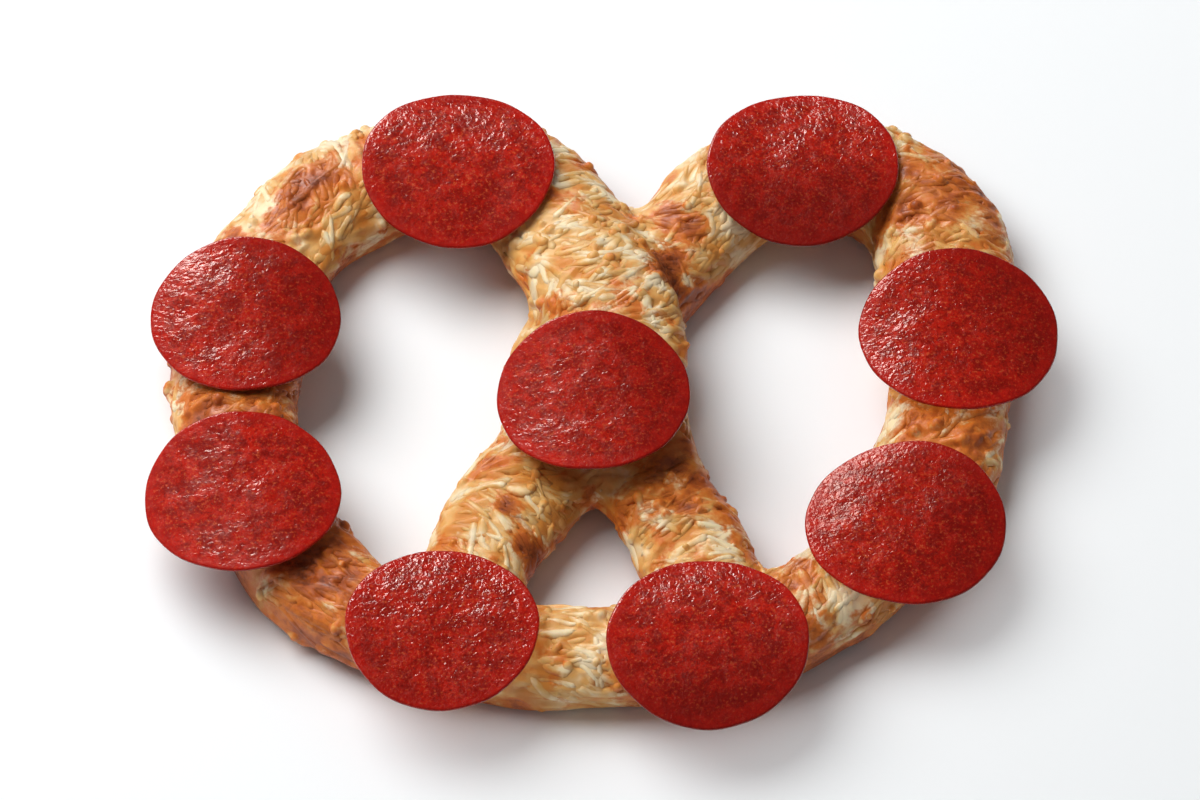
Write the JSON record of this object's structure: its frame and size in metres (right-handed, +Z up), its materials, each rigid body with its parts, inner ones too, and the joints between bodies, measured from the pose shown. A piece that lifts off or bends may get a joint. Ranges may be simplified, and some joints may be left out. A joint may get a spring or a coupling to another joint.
{
  "type": "soft pretzel",
  "caption": "Baked soft pretzel with two lobes and one crossing, a crust of melted shredded cheese and round pepperoni slices laid on the rope.",
  "frame": {"origin": "middle of the footprint of the whole, at the flat underside", "axes": "+X across both lobes to the right, -Y toward the belly side, +Z up through the pretzel"},
  "size_m": [0.1684, 0.146, 0.0218],
  "materials": {
    "crust": "glossy, oily melted cheese over browned dough",
    "meat": "wet, glossy cured meat"
  },
  "bodies": {
    "root": {"pretzel": "crust", "pepperoni_1": "meat", "pepperoni_2": "meat", "pepperoni_3": "meat", "pepperoni_4": "meat", "pepperoni_5": "meat", "pepperoni_6": "meat", "pepperoni_7": "meat", "pepperoni_8": "meat", "pepperoni_9": "meat"}
  },
  "joints": []
}
